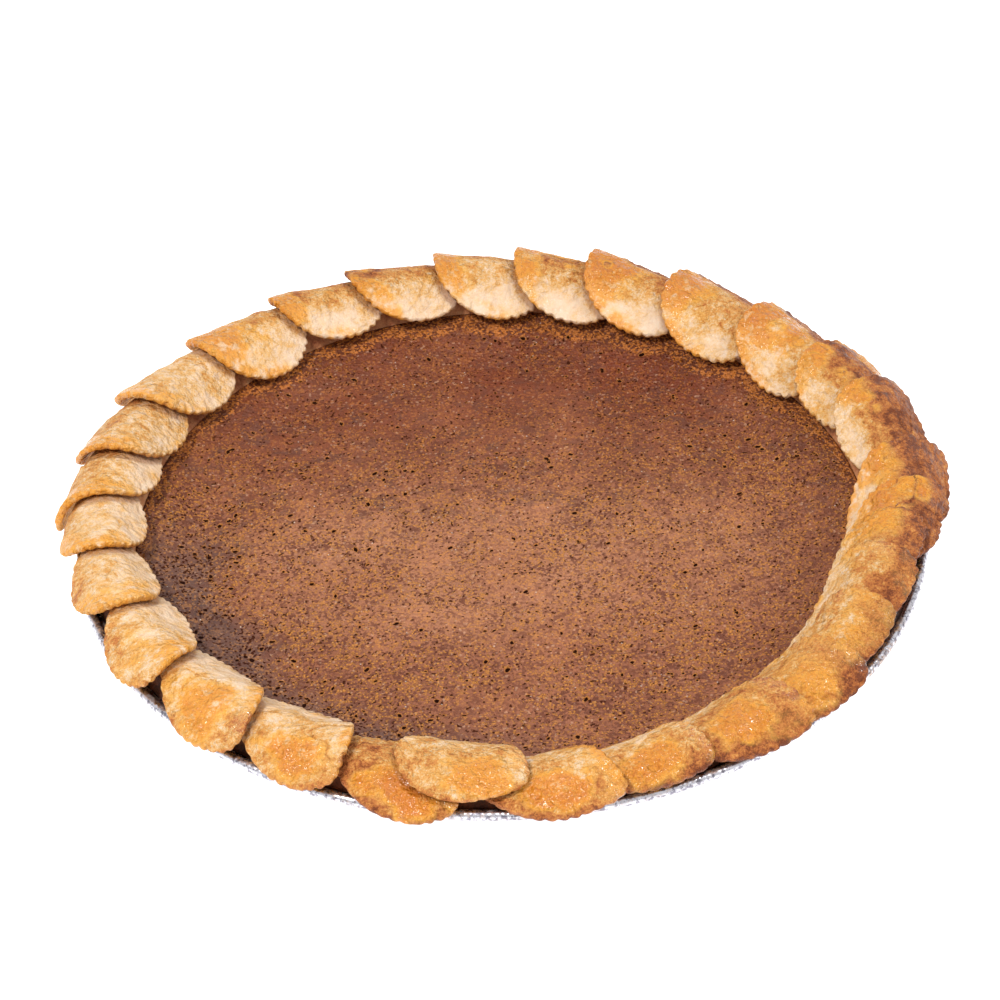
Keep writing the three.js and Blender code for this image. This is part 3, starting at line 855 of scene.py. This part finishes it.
def make_crust(material):
    angle = np.arange(CRUST_COLUMNS) * 360.0 / CRUST_COLUMNS
    reach = np.minimum(1.0, (CRUST_EDGE_RADIUS - crest(1, angle)) / (CREST_BEND - STACK_MIDDLE))
    outward = np.minimum(np.arcsin(reach), np.radians(crest(4, angle)))
    inward = -np.radians(crest(3, angle))
    section = []

    def ring(radius, height):
        section.append(np.stack(np.broadcast_arrays(radius, height + 0 * angle), -1))

    ring(wall_radius(CRUST_FLOOR, BASE_CORNER + GAP), CRUST_FLOOR)
    ring(wall_radius(CRUST_FOOT, GAP), CRUST_FOOT)
    ring(wall_radius(FLANGE_TOP, GAP), FLANGE_TOP)
    ring(CRUST_EDGE_RADIUS, FLANGE_TOP)
    for share in np.linspace(0, 1, 9):
        ring(*rim_point(angle, lerp(outward, inward, share) * CREST_BEND, 0.0))
    ring(wall_radius(FILL_EDGE, CRUST), FILL_EDGE)
    ring(wall_radius(CRUST_TOP + CRUST_CORNER, CRUST), CRUST_TOP + CRUST_CORNER)
    ring(wall_radius(CRUST_TOP, CRUST + CRUST_CORNER), CRUST_TOP)
    rows = finer(np.array(section), CRUST_STEP)
    radius, height = rows[..., 0], rows[..., 1]
    points = turned(radius, angle, height)
    crag = 0.22 * noise(points, 3.5, seed=41) + 0.14 * noise(points, 1.4, seed=42) - 0.2
    shown = eased(height, FILL_EDGE - 4, FILL_EDGE - 1)
    points = turned(radius + crag * shown, angle, height + 0.6 * crag * shown)
    # Darker brown on the outer side under the rounds and below the custard's edge: partly browning, partly
    # painted shade.
    outside = eased(radius, CRUST_EDGE_RADIUS - 9, CRUST_EDGE_RADIUS - 3)
    bake = 0.42 + 0.45 * outside + 0.2 * (1 - shown) + 0.12 * noise(points, 9.0, seed=43)
    ends = [[0, 0, CRUST_FLOOR], [0, 0, CRUST_TOP]]
    skin = np.concatenate([points.reshape(-1, 3), ends])
    masks = {"bake": np.concatenate([bake.ravel(), [0.3, 0.3]])}
    faces = shell_faces(len(rows), CRUST_COLUMNS)
    add_piece("crust_shell", skin, faces, "crust", material, masks)


def pores(x, y, edge):
    """Holes left by bubbles, 1 at each one's middle."""
    draw = np.random.default_rng(PORE_SEED)
    deep = np.zeros_like(x)
    for count in range(PORES + LEFT_PORES):
        far = (edge - PORE_MARGIN) * math.sqrt(draw.uniform(0, 1))
        turn = draw.uniform(0, 2 * math.pi)
        if count >= PORES:
            far = draw.uniform(*LEFT_PORE_REACH)
            turn = math.radians(draw.uniform(*LEFT_PORE_TURN))
        off_x, off_y = x - far * math.cos(turn), y - far * math.sin(turn)
        wide = draw.uniform(*PORE_WIDTH)
        long = wide * draw.uniform(*PORE_LENGTH)
        lie = draw.uniform(0, math.pi)
        ahead = off_x * math.cos(lie) + off_y * math.sin(lie)
        aside = off_y * math.cos(lie) - off_x * math.sin(lie)
        deep = np.maximum(deep, np.exp(-((ahead / long) ** 2) - (aside / wide) ** 2))
    return deep


def disc_faces(side):
    """The edge of a square grid of side by side points, walked once round, and the faces of the grid,
    of a skirt of two rings of points under its edge and of the bottom, closed on one last point."""
    numbers = np.arange(side * side).reshape(side, side)
    loop = np.concatenate([numbers[0, :-1], numbers[:-1, -1], numbers[-1, :0:-1], numbers[:0:-1, 0]])
    grid = np.stack([numbers[:-1, :-1], numbers[:-1, 1:], numbers[1:, 1:], numbers[1:, :-1]], -1)
    count = len(loop)
    step = np.arange(count)
    after = (step + 1) % count
    first = side * side
    second = first + count
    quads = np.concatenate([
        grid.reshape(-1, 4),
        np.stack([loop[after], loop, first + step, first + after], -1),
        np.stack([first + after, first + step, second + step, second + after], -1),
    ])
    last = np.full(count, second + count)
    return loop, [quads, np.stack([second + after, second + step, last], -1)]


def under_rounds(flat, radius, angle):
    """1 where the custard lies under the tip of a round, and just past it."""
    lean = np.radians(crest(3, angle))
    along = (radius - crest(1, angle) + CREST_BEND * np.sin(lean)) / np.cos(lean) - lean * CREST_BEND
    closest = np.full_like(radius, FAR_AWAY)
    for index in range(len(ROUNDS)):
        closest = np.minimum(closest, share_of(index, angle, along))
    return 1 - eased(closest + 0.03 * noise(flat, 3.0, seed=60), 1.02, 1.08)


def custard_masks(flat, radius, angle, calm):
    """Colour: a paler painted sheen in the sunken middle; reddish brown at the back, partly its own colour
    and partly painted shade; painted shade with a dull grey sheen where the left front climbs, and grey
    patches of painted shade and sheen, more toward the back; and caramel under the tips of the rounds, made
    lighter as painted light against their shadow."""
    x, y = flat[..., 0], flat[..., 1]
    behind = eased(y, *BACK_REACH)
    right = eased(x, *RIGHT_REACH)
    wave = noise(flat, 20.0, seed=56)
    # The painted sheen lies over a wide oval a little in front of the middle.
    middle = 1 - eased(np.hypot(x / SHEEN_WIDTH, (y - SHEEN_MIDDLE) / SHEEN_DEPTH), *SHEEN_REACH)
    tan_sheen = middle * (0.75 + 0.35 * wave)
    # Reddish and darker toward the back: partly its own colour, partly painted shade.
    red_and_shade = np.maximum(0.95 * behind, 0.35 * right * eased(radius, 60, 105)) * (0.85 + 0.3 * wave)
    # Painted shade on the band where the left front climbs.
    dusk_shade = eased(radius + 6 * wave, *DUSK_SHADE_REACH) * facing(angle, DUSK_SHADE_FACES, 0.5, 0.85)
    # Where the grey painted shade lies: more toward the back, and near the rounds at the left front.
    grey_shade = (0.25 + 0.75 * eased(y, -20, 30)) * (1 - 0.3 * behind) * (0.8 + 0.4 * wave)
    near_left = eased(radius, *GREY_SHADE_REACH) * facing(angle, GREY_SHADE_FACES, 0.4, 0.85)
    grey_shade = np.maximum(grey_shade, near_left * (0.9 + 0.5 * wave))
    blurred = tan_sheen * eased(noise(flat, 9.0, seed=59) + 0.5, 0.0, 0.8)
    fleck = (1 - 0.6 * dusk_shade) * (1 - 0.4 * blurred) * (1 - 0.3 * behind)
    fleck = fleck * (0.9 + 0.35 * noise(flat, 12.0, seed=57))
    holes = (1 - 0.55 * blurred) * (0.9 + 0.3 * noise(flat, 15.0, seed=58))
    seam = under_rounds(flat, radius, angle) * (1 - 0.8 * calm)
    return {"tan_sheen": tan_sheen, "red_and_shade": red_and_shade, "dusk_shade": dusk_shade, "grey_shade": grey_shade, "fleck": fleck, "holes": holes, "seam": seam}


def make_filling(material):
    """The top is a square grid drawn out to a disc, with a skirt and a bottom below it."""
    floor = CRUST_TOP + GAP
    side = CRUST + GAP
    edge = wall_radius(FILL_EDGE, side)
    u, v = np.meshgrid(np.linspace(-1, 1, FILL_GRID), np.linspace(-1, 1, FILL_GRID))
    x = edge * u * np.sqrt(1 - v * v / 2)
    y = edge * v * np.sqrt(1 - u * u / 2)
    radius, angle = np.hypot(x, y), np.degrees(np.arctan2(y, x))
    flat = np.stack([x, y, np.zeros_like(x)], -1)
    inward = 1 - eased(radius, edge - 5, edge)
    calm = eased(radius + 3 * noise(flat, 9.0, seed=61), *CALM_REACH) * facing(angle, CALM_FACES, 0.2, 0.7)
    relief = 0.22 * noise(flat, 17.0, seed=52) + 0.12 * noise(flat, 5.0, seed=53)
    fine = 0.10 * noise(flat, 2.2, seed=54) + 0.05 * noise(flat, 1.2, seed=55)
    relief = relief + (1 - 0.6 * calm) * fine
    pore = pores(x, y, edge)
    height = fill_height(radius, angle) + (relief - PORE_DEPTH * pore ** 2) * inward
    top = np.stack([x, y, height], -1)

    loop, faces = disc_faces(FILL_GRID)
    around = angle.ravel()[loop]
    skirt = [turned(wall_radius(floor + FILL_CORNER, side), around, floor + FILL_CORNER + 0 * around),
             turned(wall_radius(floor, side + FILL_CORNER), around, floor + 0 * around)]
    skin = np.concatenate([top.reshape(-1, 3), *skirt, [[0, 0, floor]]])
    hidden = np.zeros(2 * len(loop) + 1)
    masks = {key: np.concatenate([np.clip(values, 0, 1).ravel(), hidden])
             for key, values in {**custard_masks(flat, radius, angle, calm), "pore": pore}.items()}
    add_piece("filling_custard", skin, faces, "filling", material, masks)


def tin_section():
    """Radius and height round the tin's section: up the outside, over the bead and down the inside.
    Also which of its points are on the bead, as a share, and which are on the outside of the wall."""
    bead_at = RIM_RADIUS - BEAD_RADIUS
    outline = [(BASE_RADIUS - BASE_CORNER, 0.0), (BASE_RADIUS, BASE_CORNER),
               (SHOULDER_RADIUS, FLANGE - FOIL), (bead_at - 1.3, RIM_HEIGHT - 1.35)]
    section = finer(np.array(outline)[:, None, :], TIN_STEP)[:, 0]
    around = np.radians(np.linspace(-100, 140, 11))
    bead = np.stack([bead_at + BEAD_RADIUS * np.cos(around), RIM_HEIGHT + BEAD_RADIUS * np.sin(around)], -1)
    inside = np.array([(bead_at - BEAD_RADIUS, FLANGE + 0.15), (bead_at - BEAD_RADIUS - 1.2, FLANGE),
                       (wall_radius(FLANGE, 0), FLANGE),
                       (wall_radius(BASE_CORNER + FOIL, 0), BASE_CORNER + FOIL),
                       (wall_radius(FOIL, BASE_CORNER), FOIL)])
    rows = np.concatenate([section, bead, inside])
    on_bead = np.zeros((len(rows), 1))
    on_bead[len(section):len(section) + len(bead), 0] = np.sin(np.linspace(0.3, math.pi - 0.3, len(bead)))
    on_wall = np.zeros((len(rows), 1))
    on_wall[2:len(section) - 1] = 1.0
    return rows, on_bead, on_wall


def make_tin(material):
    rows, on_bead, on_wall = tin_section()
    angle = np.arange(TIN_COLUMNS) * 360.0 / TIN_COLUMNS
    turn = np.radians(angle)
    wheel = np.stack([np.cos(turn), np.sin(turn), 0 * turn], -1)
    crimp = np.cos(turn * CRIMPS + 2.5 * noise(wheel, 0.03, seed=65))
    crimp = crimp * (0.5 + 0.5 * noise(wheel, 0.02, seed=61))
    dent = 0.5 + 0.5 * noise(wheel, 0.09, seed=62)
    pleat = np.abs(np.sin(turn * PLEATS / 2)) * (0.6 + 0.4 * noise(wheel, 0.08, seed=63))
    pressed_in = BEAD_WORN[0] + BEAD_CRIMP * crimp + BEAD_DENT * dent
    pressed_down = BEAD_WORN[1] + BEAD_CRIMP * crimp + BEAD_DROP * dent
    radius = rows[:, :1] - on_bead * pressed_in - on_wall * PLEAT_DEPTH * pleat
    height = rows[:, 1:] - on_bead * pressed_down
    skin = np.concatenate([turned(radius, angle, height).reshape(-1, 3), [[0, 0, 0], [0, 0, FOIL]]])

    # What boiled over lies inside the bead, and in places on it.
    rolled = eased(height, RIM_HEIGHT - 1.8, RIM_HEIGHT - 0.6)
    spilt = 0.45 * rolled * eased(noise(wheel, 0.3, seed=66), -0.1, 0.3)
    inward = eased(RIM_RADIUS - BEAD_RADIUS + 1.0 - radius, 0, 1.2)
    residue = np.maximum(eased(height, RIM_HEIGHT - 1.6, RIM_HEIGHT - 0.6) * inward, spilt)
    residue = np.clip(residue * (0.75 + 0.5 * noise(wheel, 0.2, seed=64)), 0, 1)
    masks = {"residue": np.concatenate([residue.ravel(), [0, 0]]),
             "rolled": np.concatenate([rolled.ravel(), [0, 0]])}
    add_piece("tin_foil", skin, shell_faces(len(rows), TIN_COLUMNS), "tin", material, masks)


pastry = pastry_material()
for number in range(len(ROUNDS)):
    Round(number).make(pastry)
make_crust(crust_material())
make_filling(filling_material())
make_tin(foil_material())

# ---- floor, light and camera -------------------------------------------------------------------

CAMERA_ELEVATION = 39.57  # degrees above the rolled rim's plane, from its middle
CAMERA_DISTANCE = 6.554 * RIM_RADIUS
CAMERA_ROLL = 2.10  # degrees that the camera is turned about its view, and then aside and up
CAMERA_PAN = 0.03
CAMERA_TILT = 0.27
LENS = 100.0
SENSOR = 36.0

FLOOR_SIZE = 12.0  # metres
FLOOR_LEVEL = -0.0002
FLOOR_GLOW = 0.5  # the table is lit a little from below, which keeps it white
SKY = 0.85

# Each lamp's name, place and width, in metres, and its power in watts.
LAMPS = [
    ("key", (-0.5, -0.6, 1.2), 0.2, 12.0),
    ("side", (0.9, -0.2, 1.0), 0.4, 4.0),
]
LAMPS_AIM = (0, 0, 0.03)


def add_floor():
    bpy.ops.mesh.primitive_plane_add(size=FLOOR_SIZE, location=(0, 0, FLOOR_LEVEL))
    floor = bpy.context.object
    floor.name = "floor"
    s = Shader("floor")
    s.surface_is(Base_Color=(0.95, 0.95, 0.95, 1.0), Roughness=0.9, Emission_Color=(1.0, 1.0, 1.0, 1.0),
                 Emission_Strength=FLOOR_GLOW)
    floor.data.materials.append(s.material)


def add_light(name, place, size, power):
    light = bpy.data.lights.new(name, "AREA")
    light.shape = "DISK"
    light.size = size
    light.energy = power
    lamp = bpy.data.objects.new(name, light)
    lamp.location = place
    lamp.rotation_euler = (Vector(LAMPS_AIM) - Vector(place)).to_track_quat("-Z", "Y").to_euler()
    bpy.context.scene.collection.objects.link(lamp)


def add_world():
    world = bpy.data.worlds.new("studio")
    world.use_nodes = True
    background = world.node_tree.nodes["Background"]
    background.inputs["Color"].default_value = (1.0, 1.0, 1.0, 1.0)
    background.inputs["Strength"].default_value = SKY
    bpy.context.scene.world = world


def add_camera():
    rise = math.radians(CAMERA_ELEVATION)
    away = Vector((0, -math.cos(rise), math.sin(rise))) * CAMERA_DISTANCE
    ahead = -away.normalized()
    right = Vector((1, 0, 0))
    up = right.cross(ahead)
    for axis, degrees in ((up, CAMERA_PAN), (right, CAMERA_TILT), (ahead, CAMERA_ROLL)):
        turn = Matrix.Rotation(math.radians(degrees), 3, axis)
        right, up, ahead = turn @ right, turn @ up, turn @ ahead
    data = bpy.data.cameras.new("camera")
    data.lens = LENS
    data.sensor_width = SENSOR
    camera = bpy.data.objects.new("camera", data)
    place = (away + Vector((0, 0, RIM_HEIGHT))) * 0.001
    turned_axes = Matrix((right, up, -ahead)).transposed()
    camera.matrix_world = Matrix.Translation(place) @ turned_axes.to_4x4()
    bpy.context.scene.collection.objects.link(camera)
    bpy.context.scene.camera = camera


add_floor()
add_world()
for lamp in LAMPS:
    add_light(*lamp)
add_camera()
